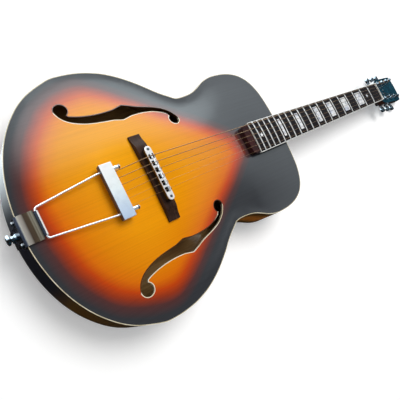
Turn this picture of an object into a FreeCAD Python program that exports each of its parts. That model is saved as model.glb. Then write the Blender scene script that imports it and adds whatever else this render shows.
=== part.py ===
import FreeCAD, Part
import math
import os

from FreeCAD import Placement, Rotation
from FreeCAD import Vector as V

# Archtop guitar lying on its back: +X to the headstock, +Y to the bass side, +Z up, millimetres.
# The origin is under the middle of the whole length, on the surface that the back's crown rests on.

# Strings and scale
scale_length = 648.0
fret_count = 19
join_fret = 14
string_radii = (0.58, 0.46, 0.33, 0.24, 0.17, 0.14)
wound_count = 4
spread_at_nut = 36.0
spread_at_bridge = 52.0
string_over_board_at_nut = 2.0
string_over_board_at_bridge = 5.4
bend_radius = 4.0

# Body outline
body_length = 485.0
lower_bout_width = 380.0
waist_width = 221.0
upper_bout_width = 264.0
lower_bout_from_tail = 144.0
waist_from_tail = 314.5
upper_bout_from_tail = 401.0
tail_round = 115.0
lower_bout_tail_round = 78.0
lower_bout_waist_round = 97.0
waist_tail_round = 39.0
waist_neck_round = 47.0
upper_bout_waist_round = 44.0
upper_bout_neck_round = 81.0
shoulder_round = 76.0

# Body depth and plates
rim_depth = 63.0
top_arch = 17.0
back_arch = 18.0
arch_margin = 9.0
arch_centre_from_tail = 215.0
arch_fullness = 2.4
arch_fade = 1.6
top_thickness = 4.5
back_thickness = 4.0
rib_thickness = 2.5
binding_width = 1.0
binding_height = 1.3
seam = 0.05
glue_line = 0.1
lining_width = 6.0
lining_height = 14.0
lining_gap = 0.25

# Blocks and bars inside
neck_block_length = 52.0
neck_block_width = 74.0
tail_block_length = 24.0
tail_block_width = 74.0
tone_bar_width = 8.0
tone_bar_height = 13.0
tone_bar_length = 330.0
tone_bar_offset = 37.0
tone_bar_tail_gap = 75.0

# Sound holes, measured along the body from the bridge line and out from the centre line
eye_upper = (84.5, 77.0)
eye_lower = (-78.5, 137.5)
eye_upper_radius = 10.0
eye_lower_radius = 11.0
outer_upper_edge = ((83.6, 94.9), (56.0, 107.7), (24.0, 117.8))
outer_nick = (10.6, 122.6)
outer_lower_edge = ((-6.0, 118.5), (-24.0, 117.8), (-47.0, 119.6), (-71.5, 126.3))
inner_lower_edge = ((-82.0, 122.0), (-62.0, 109.3), (-36.0, 103.0), (-13.0, 100.4))
inner_nick = (1.5, 96.6)
inner_upper_edge = ((17.0, 99.6), (38.0, 99.7), (63.8, 94.8), (77.0, 88.0))
hole_binding_width = 1.2

# Fingerboard, nut and neck
nut_width = 43.0
nut_thickness = 5.0
nut_over_string = 0.6
board_end_width = 56.0
board_thickness = 5.5
board_radius = 305.0
board_binding_width = 1.0
board_over_rim_at_join = 14.0
fret_width = 2.4
fret_height = 1.1
tang_width = 0.6
tang_depth = 2.0
tang_clearance = 0.03
inlay_depth = 1.0
inlay_clearance = 0.05
block_inlay_frets = (3, 5, 7, 9, 12, 15)
block_inlay_width_share = 0.62
block_inlay_margin = 5.0
star_inlay_frets = (2, 19)
star_radius = 5.0
star_waist_share = 0.42
neck_depth_at_nut = 15.5
neck_depth_at_join = 18.5
neck_roundness = 2.3
heel_reach = 62.0
heel_cap_reach = 17.0
heel_cap_half_width = 14.0
heel_side_inset = 1.0
tenon_length = 26.0
tenon_width = 30.0
tenon_clearance = 0.1
support_overhang = 15.5
support_width = 52.0
support_drop = 2.4
support_corner = 7.0

# Headstock
head_length = 160.0
head_tilt = 12.5
head_thickness = 13.5
head_shoulder = 32.0
head_shoulder_half_width = 30.5
head_end_half_width = 33.0
head_crown = 7.0
head_corner = 9.0
veneer_thickness = 1.6
head_roundness = 5.0

# Truss rod
rod_radius = 3.0
rod_depth = 4.6
rod_clearance = 0.15
rod_reach_past_nut = 19.0
rod_heel_gap = 22.0
rod_nut_radius = 4.2
rod_nut_length = 9.0
rod_thread_radius = 1.8
rod_pocket_length = 22.0
rod_pocket_room = 1.5
cover_length = 44.0
cover_half_width = 12.0
cover_thickness = 1.5
cover_gap_to_nut = 2.0

# Bridge
base_length = 136.0
base_width = 18.5
base_height = 8.2
base_flat = 46.0
base_end_height = 4.2
base_relief_half = 24.0
base_relief = 1.6
post_spacing = 74.0
post_radius = 2.0
post_embed = 5.0
wheel_gap = 3.4
wheel_thickness = 2.2
wheel_radius = 5.0
wheel_notches = 18
wheel_notch_radius = 0.45
bridge_length = 84.0
bridge_width = 10.4
bridge_body_height = 7.4
string_over_bridge_body = 4.3
bridge_floor = 1.5
bridge_edge_round = 0.8
running_clearance = 0.1
saddle_length = 3.4
saddle_width = 7.0
saddle_clearance = 0.15
saddle_pocket = 8.4
saddle_setback = (5.0, 4.2, 3.4, 4.4, 3.6, 2.8)
string_rest_gap = 0.4
saddle_screw_radius = 1.1
saddle_screw_head = 1.9
saddle_screw_head_length = 1.4
saddle_screw_drop = 2.7
saddle_screw_tip = 0.8

# Tailpiece
bar_length = 81.0
bar_width = 19.5
bar_height = 9.0
bar_sheet = 1.6
bar_edge_round = 0.9
bar_from_bridge = 65.5
bar_over_top = 7.0
ball_radius = 1.9
ball_length = 3.0
wire_radius = 1.25
wire_spread_at_bar = 62.0
wire_spread_at_tail = 42.0
wire_corner_radius = 4.0
wire_over_rim = 9.0
wire_below_bar_middle = 0.6
wire_nose = 11.5
sleeve_radius = 2.9
sleeve_length = 8.5
sleeve_cap_length = 2.0
sleeve_cap_radius = 3.3
bracket_width = 40.0
bracket_sheet = 2.0
bracket_over_top = 25.0
bracket_drop = 56.0
bracket_leg_width = 24.0
bracket_leg_shoulder = 17.0
bracket_bend = 4.5
bracket_flat = 15.0
barrel_wall = 1.5

# Strap button and tail screws
button_drop = 24.0
button_length = 13.0
button_head_radius = 7.0
button_head_land = 2.5
button_waist_radius = 3.6
button_base_radius = 5.0
button_edge = 1.0
button_screw_radius = 1.8
button_screw_length = 22.0
button_recess = 1.8
screw_radius = 1.5
screw_head_radius = 3.0
screw_head_height = 2.2
screw_length = 15.0
bracket_screws = ((15.0, 10.0), (-15.0, 10.0), (0.0, 49.0))

# Tuners, three a side, measured from the nut along the headstock
tuner_first = 32.0
tuner_pitch = 40.0
tuner_row_half = 19.0
tuner_row_flare = 1.5
tuner_hole_radius = 4.9
bushing_collar_radius = 6.3
bushing_collar_height = 2.0
bushing_depth = 7.0
bushing_fit = 0.05
peg_radius = 3.0
peg_waist_radius = 2.5
peg_height = 12.0
peg_waist_low = 3.4
peg_waist_high = 8.6
peg_edge = 0.7
peg_hole_radius = 0.9
wrap_height = 7.6
wrap_turns = 2
wrap_gap = 0.45
wrap_clearance = 0.15
housing_length = 21.0
housing_width = 15.0
housing_height = 11.0
housing_wall = 1.5
housing_fillet = 3.0
housing_shift = 0.5
lug_rim = 0.6
gear_radius = 5.2
gear_thickness = 3.0
gear_teeth = 15
gear_tooth_depth = 0.9
gear_gap_foot = 0.7
gear_gap_mouth = 1.5
gear_floor_gap = 1.6
worm_radius = 1.7
worm_gap = 0.3
worm_end_gap = 0.2
key_shaft_radius = 1.9
key_collar_radius = 3.2
key_collar_length = 4.0
key_gap = 0.4
knob_length = 17.0
knob_width = 12.5
knob_thickness = 7.0
knob_gap = 5.0
knob_root_share = 0.32
key_flange = 1.6
small_screw_radius = 1.1
small_screw_head = 2.1
small_screw_head_height = 1.0
small_screw_length = 8.0
screw_slot_width = 0.6

# Places that follow from the sizes above
def fret_place(number):
    return scale_length * (1.0 - 2.0 ** (-number / 12.0))

def camber(y, radius):
    return radius - math.sqrt(radius * radius - y * y)

join_place = fret_place(join_fret)
board_length = fret_place(fret_count + 1)
bridge_string_height = top_arch + base_height + wheel_gap + wheel_thickness \
    + bridge_body_height + string_over_bridge_body
pitch_rise = bridge_string_height - board_over_rim_at_join - string_over_board_at_bridge
neck_pitch = math.asin(pitch_rise / (scale_length - join_place))
head_slope = neck_pitch + math.radians(head_tilt)
head_drop = veneer_thickness - board_thickness
tip_reach = nut_thickness * math.cos(neck_pitch) + head_drop * math.sin(neck_pitch) \
    + head_length * math.cos(head_slope)
tail_reach = bracket_sheet + glue_line + button_length
nut_to_join = join_place * math.cos(neck_pitch)
nut_x = (nut_to_join + body_length + tail_reach - tip_reach) / 2.0
join_x = nut_x - nut_to_join
tail_x = join_x - body_length
rim_z = back_arch + rim_depth
back_z = back_arch
nut_z = rim_z + board_over_rim_at_join - join_place * math.sin(neck_pitch)
neck_place = Placement(V(nut_x, 0, nut_z), Rotation(V(0, 1, 0), math.degrees(neck_pitch)))
head_place = neck_place.multiply(
    Placement(V(nut_thickness, 0, head_drop), Rotation(V(0, 1, 0), head_tilt)))
bridge_x = nut_x - scale_length * math.cos(neck_pitch) - sum(saddle_setback) / len(saddle_setback)
base_top_z = rim_z + top_arch + base_height
wheel_z = base_top_z + wheel_gap
bridge_z = wheel_z + wheel_thickness
bridge_top_z = bridge_z + bridge_body_height
parts = {}

def add(name, *shapes):
    parts[name] = shapes[0] if len(shapes) == 1 else Part.makeCompound(list(shapes))

def in_neck(shape):
    return shape.transformed(neck_place.toMatrix(), True)

def in_head(shape):
    return shape.transformed(head_place.toMatrix(), True)

def box(low, high):
    size = high - low
    return Part.makeBox(size.x, size.y, size.z, low)

def round_bar(radius, length, start, way=V(0, 0, 1)):
    return Part.makeCylinder(radius, length, start, way)

def bar_between(start, end, radius):
    way = end - start
    return round_bar(radius, way.Length, start, way)

def polygon_face(points):
    return Part.Face(Part.makePolygon(list(points) + [points[0]]))

def curve_through(points, start=None, end=None):
    curve = Part.BSplineCurve()
    if start is None:
        curve.interpolate(Points=points)
    else:
        curve.interpolate(Points=points, InitialTangent=start, FinalTangent=end)
    return curve.toShape()

# Body outline
def outline_stretches():
    lower = (lower_bout_from_tail, lower_bout_width / 2)
    waist = (waist_from_tail, waist_width / 2)
    upper = (upper_bout_from_tail, upper_bout_width / 2)
    return (
        ((0, 0), (0, tail_round), (lower[0] - lower_bout_tail_round, lower[1]), lower),
        (lower, (lower[0] + lower_bout_waist_round, lower[1]),
         (waist[0] - waist_tail_round, waist[1]), waist),
        (waist, (waist[0] + waist_neck_round, waist[1]),
         (upper[0] - upper_bout_waist_round, upper[1]), upper),
        (upper, (upper[0] + upper_bout_neck_round, upper[1]),
         (body_length, shoulder_round), (body_length, 0)),
    )

def bezier(poles, t):
    a, b, c, d = poles
    s = 1 - t
    point = [s**3 * a[i] + 3 * s * s * t * b[i] + 3 * s * t * t * c[i] + t**3 * d[i] for i in (0, 1)]
    slope = [s * s * (b[i] - a[i]) + 2 * s * t * (c[i] - b[i]) + t * t * (d[i] - c[i]) for i in (0, 1)]
    return point, slope

def moved_in(poles, t, inset):
    point, slope = bezier(poles, t)
    size = math.hypot(*slope)
    return V(tail_x + point[0] + inset * slope[1] / size, point[1] - inset * slope[0] / size, 0)

def half_edges(inset, side):
    edges = []
    ways = (V(0, side, 0), V(1, 0, 0), V(1, 0, 0), V(1, 0, 0), V(0, -side, 0))
    for poles, way_in, way_out in zip(outline_stretches(), ways, ways[1:]):
        points = [moved_in(poles, k / 7, inset) for k in range(8)]
        edges.append(curve_through([V(p.x, side * p.y, 0) for p in points], way_in, way_out))
    return edges

def outline_prism(inset, low, high):
    face = Part.Face(Part.Wire(Part.__sortEdges__(half_edges(inset, 1) + half_edges(inset, -1))))
    face.translate(V(0, 0, low))
    return face.extrude(V(0, 0, high - low))

def half_ring(outer, inner, side, low, high):
    ends = [Part.makeLine(V(tail_x + outer, 0, 0), V(tail_x + inner, 0, 0)),
            Part.makeLine(V(join_x - outer, 0, 0), V(join_x - inner, 0, 0))]
    face = Part.Face(Part.Wire(Part.__sortEdges__(half_edges(outer, side) + half_edges(inner, side) + ends)))
    face.translate(V(0, 0, low))
    return face.extrude(V(0, 0, high - low))

# Arched plates: the height falls from the crown to a flat margin, along the body and across it
def half_width_at(x):
    from_tail = x - tail_x
    for poles in outline_stretches():
        if from_tail <= poles[3][0]:
            break
    low, high = 0.0, 1.0
    for step in range(40):
        middle = (low + high) / 2
        if bezier(poles, middle)[0][0] > from_tail:
            high = middle
        else:
            low = middle
    return bezier(poles, low)[0][1]

def arch_share(x, y):
    from_crown = x - tail_x - arch_centre_from_tail
    reach = (body_length - arch_centre_from_tail if from_crown > 0 else arch_centre_from_tail) - arch_margin
    along = abs(from_crown) / reach
    if along >= 1:
        return 0.0
    across = abs(y) / (half_width_at(x) - arch_margin)
    if across >= 1:
        return 0.0
    return ((1 - along**arch_fullness) * (1 - across**arch_fullness)) ** arch_fade

def arch_face(level, height, grid=48):
    half_width = lower_bout_width / 2 + arch_margin
    rows = []
    for i in range(grid + 1):
        x = tail_x - arch_margin + (body_length + 2 * arch_margin) * i / grid
        row = []
        for j in range(grid + 1):
            y = half_width * (2.0 * j / grid - 1)
            row.append(V(x, y, level + height * arch_share(x, y)))
        rows.append(row)
    surface = Part.BSplineSurface()
    surface.interpolate(rows)
    return surface.toShape()

reach_past_body = 120.0
top_slab = arch_face(rim_z, top_arch).extrude(V(0, 0, -top_thickness))
back_slab = arch_face(back_z, -back_arch).extrude(V(0, 0, back_thickness))
above_inside = arch_face(rim_z - top_thickness - glue_line, top_arch).extrude(V(0, 0, reach_past_body))
below_inside = arch_face(back_z + back_thickness + glue_line, -back_arch).extrude(V(0, 0, -reach_past_body))
below_top = arch_face(rim_z + glue_line, top_arch).extrude(V(0, 0, -reach_past_body))
rib_low = back_z + back_thickness
rib_high = rim_z - top_thickness

# Sound holes
def hole_point(place, side):
    return V(bridge_x + place[0], side * place[1], 0)

def on_eye(centre, radius, place):
    away = math.hypot(place[0] - centre[0], place[1] - centre[1])
    return tuple(centre[i] + (place[i] - centre[i]) * radius / away for i in (0, 1))

def step_in(before, place, after, inset):
    first = V(place[0] - before[0], place[1] - before[1], 0).normalize()
    second = V(after[0] - place[0], after[1] - place[1], 0).normalize()
    inward = V(-first.y - second.y, first.x + second.x, 0) * (inset / (1 + first.dot(second)))
    return place[0] + inward.x, place[1] + inward.y

def hole_corners(inset):
    upper_out = (eye_upper[0] + eye_upper_radius, eye_upper[1] + 0.25 * eye_upper_radius)
    lower_out = (eye_lower[0] - eye_lower_radius, eye_lower[1])
    upper_in = on_eye(eye_upper, eye_upper_radius, inner_upper_edge[-1])
    lower_in = on_eye(eye_lower, eye_lower_radius, outer_lower_edge[-1])
    upper_out = on_eye(eye_upper, eye_upper_radius, upper_out)
    outer = [upper_out, *outer_upper_edge, outer_nick, *outer_lower_edge, lower_in]
    inner = [lower_out, *inner_lower_edge, inner_nick, *inner_upper_edge, upper_in]
    edges = []
    for chain, first_eye, last_eye in ((outer, eye_upper, eye_lower), (inner, eye_lower, eye_upper)):
        first_radius = (eye_upper_radius if first_eye == eye_upper else eye_lower_radius) - inset
        last_radius = (eye_upper_radius if last_eye == eye_upper else eye_lower_radius) - inset
        middle = [step_in(a, b, c, inset) for a, b, c in zip(chain, chain[1:], chain[2:])]
        end_way = V(chain[-1][0] - chain[-2][0], chain[-1][1] - chain[-2][1], 0).normalize() * inset
        end = (chain[-1][0] - end_way.y, chain[-1][1] + end_way.x)
        first = on_eye(first_eye, first_radius, chain[0])
        edges.append([first] + middle + [on_eye(last_eye, last_radius, end)])
    return edges

def eye_arc(centre, radius, first, last, side):
    middle = hole_point(centre, side)
    away = middle - (first + last) / 2
    return Part.Arc(first, middle + away.normalize() * radius, last).toShape()

def hole_wire(side, inset):
    outer, inner = [[hole_point(p, side) for p in chain] for chain in hole_corners(inset)]
    nick_out = 1 + len(outer_upper_edge)
    nick_in = 1 + len(inner_lower_edge)
    edges = []
    for chain, nick in ((outer, nick_out), (inner, nick_in)):
        edges.append(curve_through(chain[:nick]))
        edges.append(Part.makeLine(chain[nick - 1], chain[nick]))
        edges.append(Part.makeLine(chain[nick], chain[nick + 1]))
        edges.append(curve_through(chain[nick + 1:-1]))
        edges.append(Part.makeLine(chain[-2], chain[-1]))
    edges.insert(5, eye_arc(eye_lower, eye_lower_radius - inset, outer[-1], inner[0], side))
    edges.append(eye_arc(eye_upper, eye_upper_radius - inset, inner[-1], outer[0], side))
    return Part.Wire(edges)

def hole_prism(side, inset):
    face = Part.Face(hole_wire(side, inset))
    face.translate(V(0, 0, rim_z - 2 * top_thickness))
    return face.extrude(V(0, 0, top_arch + 4 * top_thickness))

# Box: plates, ribs, binding and what is inside
def make_body():
    low = rim_z - 2 * top_thickness
    high = rim_z + 2 * top_arch
    ledge = rim_z - binding_height - seam
    rabbet = outline_prism(-binding_width, ledge, high).cut(outline_prism(binding_width + seam, ledge, high))
    top = top_slab.common(outline_prism(0.0, low, high)).cut(rabbet)
    edgings = []
    for side in (1, -1):
        top = top.cut(hole_prism(side, 0.0))
        ring = hole_prism(side, seam).cut(hole_prism(side, hole_binding_width))
        edgings.append(top_slab.common(ring))
    add("top_plate", top)
    add("f_hole_bindings", *edgings)
    add("back_plate", back_slab.common(outline_prism(0.0, -2 * back_arch, back_z + 2 * back_thickness)))
    strip_low = rim_z - binding_height
    strip = outline_prism(0.0, strip_low, rim_z).cut(outline_prism(binding_width, strip_low, rim_z))
    add("top_binding", strip)
    for name, side in (("bass_rib", 1), ("treble_rib", -1)):
        rib = half_ring(0.0, rib_thickness, side, rib_low + seam, rib_high - seam)
        add(name, rib.cut([tenon_box(tenon_clearance)] + tail_holes()))

def tenon_box(grow):
    low = V(join_x - tenon_length - grow, -tenon_width / 2 - grow, rib_low + lining_height - grow)
    high = V(join_x + heel_cap_reach / 2, tenon_width / 2 + grow, rib_high - lining_height / 2 + grow)
    return box(low, high)

def make_inside():
    inset = rib_thickness + glue_line
    hollow = outline_prism(inset, 0.0, rim_z + top_arch).cut(above_inside).cut(below_inside)
    neck_zone = box(V(join_x - neck_block_length, -neck_block_width / 2, 0),
                    V(join_x, neck_block_width / 2, rim_z + top_arch))
    tail_zone = box(V(tail_x, -tail_block_width / 2, 0),
                    V(tail_x + tail_block_length, tail_block_width / 2, rim_z + top_arch))
    add("neck_block", hollow.common(neck_zone).cut(tenon_box(tenon_clearance)))
    add("tail_block", hollow.common(tail_zone).cut(tail_holes()))
    linings = []
    levels = ((rib_high - lining_height, rib_high - lining_gap),
              (rib_low + lining_gap, rib_low + lining_height))
    for low, high in levels:
        ring = outline_prism(inset, low, high).cut(outline_prism(inset + lining_width, low, high))
        ring = ring.cut(box(V(join_x - neck_block_length, -neck_block_width / 2 - glue_line, low),
                            V(join_x, neck_block_width / 2 + glue_line, high)))
        ring = ring.cut(box(V(tail_x, -tail_block_width / 2 - glue_line, low),
                            V(tail_x + tail_block_length, tail_block_width / 2 + glue_line, high)))
        linings.extend(ring.Solids)
    add("kerfed_linings", *linings)
    bars = []
    for side in (1, -1):
        middle = side * tone_bar_offset
        start = tail_x + tone_bar_tail_gap
        low = rim_z - top_thickness + top_arch - tone_bar_height
        bar = box(V(start, middle - tone_bar_width / 2, low),
                  V(start + tone_bar_length, middle + tone_bar_width / 2, rim_z + top_arch))
        bars.append(bar.cut(above_inside))
    add("tone_bars", *bars)

# Neck frame: x to the headstock from the nut's front edge, z up from the crown of the fingerboard
def board_half_width(x):
    return (nut_width + (board_end_width - nut_width) * (-x) / board_length) / 2

def board_cylinder(drop):
    axis_start = V(-board_length - nut_thickness, 0, -board_radius)
    return round_bar(board_radius - drop, board_length + 3 * nut_thickness, axis_start, V(1, 0, 0))

def board_blank(inset, start, end):
    a = board_half_width(start) - inset
    b = board_half_width(end) - inset
    low = -board_thickness
    face = polygon_face([V(start, -a, low), V(end, -b, low), V(end, b, low), V(start, a, low)])
    return face.extrude(V(0, 0, 2 * board_thickness)).common(board_cylinder(0.0))

def star_points(x):
    points = []
    for k in range(10):
        radius = star_radius if k % 2 == 0 else star_waist_share * star_radius
        angle = math.pi * k / 5
        points.append(V(x + radius * math.cos(angle), radius * math.sin(angle), -board_thickness))
    return points

def inlay_blanks(grow):
    blanks = []
    for number in block_inlay_frets:
        start = -fret_place(number) + block_inlay_margin - grow
        end = -fret_place(number - 1) - block_inlay_margin + grow
        half = board_half_width(start) * block_inlay_width_share + grow
        corners = [V(start, -half, -board_thickness), V(end, -half, -board_thickness),
                   V(end, half, -board_thickness), V(start, half, -board_thickness)]
        blanks.append(polygon_face(corners))
    for number in star_inlay_frets:
        middle = -(fret_place(number) + fret_place(number - 1)) / 2
        star = Part.makePolygon(star_points(middle) + star_points(middle)[:1])
        if grow:
            star = star.makeOffset2D(grow, join=2)
        blanks.append(Part.Face(star))
    shell = board_cylinder(0.0).cut(board_cylinder(inlay_depth + grow))
    return [blank.extrude(V(0, 0, 2 * board_thickness)).common(shell) for blank in blanks]

def fret_profile(x):
    top = V(x, 0, fret_height)
    left = V(x - fret_width / 2, 0, 0)
    right = V(x + fret_width / 2, 0, 0)
    return Part.Face(Part.Wire([Part.Arc(left, top, right).toShape(), Part.makeLine(right, left)]))

def make_frets():
    frets = []
    slots = []
    for number in range(1, fret_count + 1):
        x = -fret_place(number)
        half = board_half_width(x)
        angle = math.degrees(math.asin(half / board_radius))
        crown = fret_profile(x)
        crown.rotate(V(x, 0, -board_radius), V(1, 0, 0), -angle)
        crown = crown.revolve(V(x, 0, -board_radius), V(1, 0, 0), 2 * angle)
        inner = half - board_binding_width - seam
        ring = board_cylinder(0.0).cut(board_cylinder(tang_depth))
        blade = box(V(x - tang_width / 2, -inner, -board_thickness),
                    V(x + tang_width / 2, inner, fret_height))
        tang = ring.common(blade)
        frets.append(in_neck(crown.fuse(tang)))
        slot_half = tang_width / 2 + tang_clearance
        slot_low = -tang_depth - tang_clearance - camber(half, board_radius)
        slots.append(box(V(x - slot_half, -half, slot_low), V(x + slot_half, half, fret_height)))
    add("frets", *frets)
    return slots

def make_board():
    slots = make_frets()
    core = board_blank(board_binding_width + seam, -board_length + board_binding_width + seam, 0.0)
    for cutter in slots + inlay_blanks(inlay_clearance):
        core = core.cut(cutter)
    edge = board_blank(0.0, -board_length, 0.0)
    inner = board_blank(board_binding_width, -board_length + board_binding_width, nut_thickness)
    add("fingerboard", in_neck(core))
    add("fingerboard_binding", in_neck(edge.cut(inner)))
    add("fret_markers", *[in_neck(blank) for blank in inlay_blanks(0.0)])

def string_share(index):
    return 0.5 - index / (len(string_radii) - 1)

def nut_point(index):
    y = spread_at_nut * string_share(index)
    return neck_place.multVec(V(0, y, string_over_board_at_nut - camber(y, board_radius)))

def saddle_point(index):
    y = spread_at_bridge * string_share(index)
    height = string_over_board_at_bridge - camber(y, board_radius)
    return neck_place.multVec(V(-scale_length - saddle_setback[index], y, height))

def make_nut():
    high = string_over_board_at_nut + nut_over_string
    profile = polygon_face([V(0, -nut_width / 2, -board_thickness), V(0, -nut_width / 2, high),
                            V(nut_thickness, -nut_width / 2, high - nut_thickness * math.sin(head_slope)),
                            V(nut_thickness, -nut_width / 2, -board_thickness)])
    crown_start = V(-nut_thickness, 0, -board_radius)
    crown = round_bar(board_radius + high, 3 * nut_thickness, crown_start, V(1, 0, 0))
    nut = in_neck(profile.extrude(V(0, nut_width, 0)).common(crown))
    for index, radius in enumerate(string_radii):
        start = nut_point(index)
        way = peg_touch(index)[0] - start
        width = 2 * radius + 3 * glue_line
        slot = Part.makeBox(3 * nut_thickness, width, 3 * board_thickness,
                            V(-nut_thickness, -width / 2, -radius - glue_line))
        slot.Placement = Placement(start, Rotation(V(1, 0, 0), way))
        nut = nut.cut(slot)
    add("nut", nut)

# Neck wood: shaft, throat, headstock and heel in one piece
def round_section(x, half_width, depth, roundness, top):
    points = []
    steps = 12
    for k in range(steps + 1):
        angle = math.pi * k / steps
        across = math.copysign(abs(math.cos(angle)) ** (2 / roundness), math.cos(angle))
        points.append(V(x, half_width * across, top - depth * math.sin(angle) ** (2 / roundness)))
    return Part.Wire([curve_through(points), Part.makeLine(points[-1], points[0])])

def head_outline(low):
    half = nut_width / 2
    start = V(0, half, low)
    shoulder = V(head_shoulder, head_shoulder_half_width, low)
    corner_start = V(head_length - head_crown - head_corner, head_end_half_width, low)
    corner_end = V(head_length - head_crown / 2, head_end_half_width - head_corner, low)
    along = (corner_start - shoulder).normalize()
    flare = curve_through([start, V(head_shoulder / 2, half + 0.72 * (head_shoulder_half_width - half), low),
                           shoulder], V(1, 0.2, 0), along)
    bend = V(head_length - head_crown - 0.25 * head_corner, head_end_half_width - 0.3 * head_corner, low)
    corner = Part.Arc(corner_start, bend, corner_end).toShape()
    edges = [flare, Part.makeLine(shoulder, corner_start), corner]
    mirrored = [edge.mirror(V(0, 0, 0), V(0, 1, 0)) for edge in edges]
    tip = Part.Arc(corner_end, V(head_length, 0, low), V(corner_end.x, -corner_end.y, low)).toShape()
    base = Part.makeLine(V(0, -half, low), start)
    return Part.Face(Part.Wire(Part.__sortEdges__(edges + mirrored + [tip, base])))

def make_heel():
    sections = []
    top = rim_z + board_over_rim_at_join - board_thickness - neck_depth_at_join / 2
    half_top = board_half_width(-join_place) - heel_side_inset
    for share in (0.0, 0.3, 0.65, 1.0):
        z = rib_low + (top - rib_low) * share
        reach = heel_cap_reach + (heel_reach - heel_cap_reach) * share**2.6
        half = heel_cap_half_width + (half_top - heel_cap_half_width) * share
        points = []
        for k in range(9):
            angle = math.pi * k / 8 - math.pi / 2
            points.append(V(join_x + reach * math.cos(angle) ** 0.8, half * math.sin(angle), z))
        root = [V(join_x - tenon_length / 2, half, z), V(join_x - tenon_length / 2, -half, z)]
        sections.append(Part.Wire([
            curve_through(points),
            Part.makeLine(points[-1], root[0]),
            Part.makeLine(root[0], root[1]),
            Part.makeLine(root[1], points[0]),
        ]))
    return Part.makeLoft(sections, True)

def make_neck():
    top = -board_thickness
    throat_start = -2 * nut_thickness
    join_half = board_half_width(-join_place)
    throat_half = board_half_width(throat_start)
    foot = round_section(-join_place, join_half, neck_depth_at_join, neck_roundness, top)
    entry = round_section(throat_start, throat_half, neck_depth_at_nut, neck_roundness, top)
    shaft = Part.makeLoft([foot, entry], True, True)
    land = round_section(nut_thickness, nut_width / 2, neck_depth_at_nut, neck_roundness, top)
    head_entry = round_section(head_shoulder * 0.8, 0.9 * head_shoulder_half_width, head_thickness,
                               head_roundness, -veneer_thickness)
    head_entry.Placement = neck_place.inverse().multiply(head_place)
    throat = Part.makeLoft([entry, land, head_entry], True)
    shaft = in_neck(shaft.fuse(throat))
    head = in_head(head_outline(-veneer_thickness).extrude(V(0, 0, -head_thickness)))
    body = outline_prism(-glue_line, 0.0, rim_z + glue_line)
    neck = shaft.fuse(head).fuse(make_heel()).cut(body).fuse(tenon_box(0.0))
    nut_zone = in_neck(box(V(-nut_thickness, -nut_width, -2 * board_thickness),
                           V(nut_thickness + glue_line, nut_width, board_thickness)))
    neck = neck.cut(in_neck(rod_channel())).cut(in_head(rod_pocket()))
    neck = neck.cut(in_head(veneer_zone()).cut(nut_zone))
    neck = neck.cut(in_neck(box(V(-4 * nut_thickness, -nut_width, -board_thickness),
                                V(nut_thickness + glue_line, nut_width, board_thickness))))
    for tuner in tuners():
        neck = neck.cut(in_head(tuner_hole(tuner)))
        neck = neck.cut(in_head(tuner_screw_core(tuner)))
    for screw in cover_screw_cores():
        neck = neck.cut(in_head(screw))
    add("neck", neck)
    veneer = head_outline(-veneer_thickness).extrude(V(0, 0, veneer_thickness)).cut(rod_pocket())
    for tuner in tuners():
        veneer = veneer.cut(tuner_hole(tuner))
    for screw in cover_screw_cores():
        veneer = veneer.cut(screw)
    add("headstock_veneer", in_head(veneer).cut(nut_zone))

def veneer_zone():
    return box(V(-2 * nut_thickness, -2 * head_end_half_width, -veneer_thickness),
               V(head_length + head_crown, 2 * head_end_half_width, head_thickness))

# Truss rod under the fingerboard, with its nut in a covered pocket
def rod_channel():
    drop = -board_thickness - rod_depth
    start = -join_place + rod_heel_gap - rod_clearance
    grown = rod_radius + rod_clearance
    return box(V(start, -grown, drop - grown), V(rod_reach_past_nut + rod_clearance, grown, -board_thickness))

def rod_pocket():
    half = rod_nut_radius + rod_pocket_room
    return box(V(nut_thickness / 2, -half, -rod_depth - 2 * rod_nut_radius),
               V(nut_thickness / 2 + rod_pocket_length, half, head_thickness))

def cover_outline(low):
    start = cover_gap_to_nut
    end = start + cover_length
    neck_half = 0.45 * cover_half_width
    a = V(start, cover_half_width, low)
    b = V(start + 0.45 * cover_length, cover_half_width, low)
    waist = V(start + 0.72 * cover_length, neck_half * 1.3, low)
    c = V(end - neck_half, neck_half, low)
    side = curve_through([b, waist, c], V(1, 0, 0), V(1, 0, 0))
    edges = [Part.makeLine(a, b), side]
    mirrored = [edge.mirror(V(0, 0, 0), V(0, 1, 0)) for edge in edges]
    tip = Part.Arc(c, V(end, 0, low), V(c.x, -c.y, low)).toShape()
    base = Part.makeLine(V(a.x, -a.y, low), a)
    return Part.Face(Part.Wire(Part.__sortEdges__(edges + mirrored + [tip, base])))

def cover_screw_places():
    start = cover_gap_to_nut
    inset = 2 * small_screw_head
    return ((start + rod_pocket_length + inset, cover_half_width - inset),
            (start + rod_pocket_length + inset, inset - cover_half_width),
            (start + cover_length - inset, 0.0))

def cover_screw_cores():
    return [round_bar(small_screw_radius + seam, small_screw_length + seam, V(x, y, 0), V(0, 0, -1))
            for x, y in cover_screw_places()]

def small_screw(x, y, z, up):
    head = round_bar(small_screw_head, small_screw_head_height, V(x, y, z), up)
    head = head.makeFillet(0.4 * small_screw_head_height, [head.Edges[0]])
    middle = V(x, y, z) + up * small_screw_head_height
    reach = V(small_screw_head, screw_slot_width / 2, 0.5 * small_screw_head_height)
    shank = round_bar(small_screw_radius, small_screw_length, V(x, y, z), up * -1)
    return head.cut(box(middle - reach, middle + reach)).fuse(shank)

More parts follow.
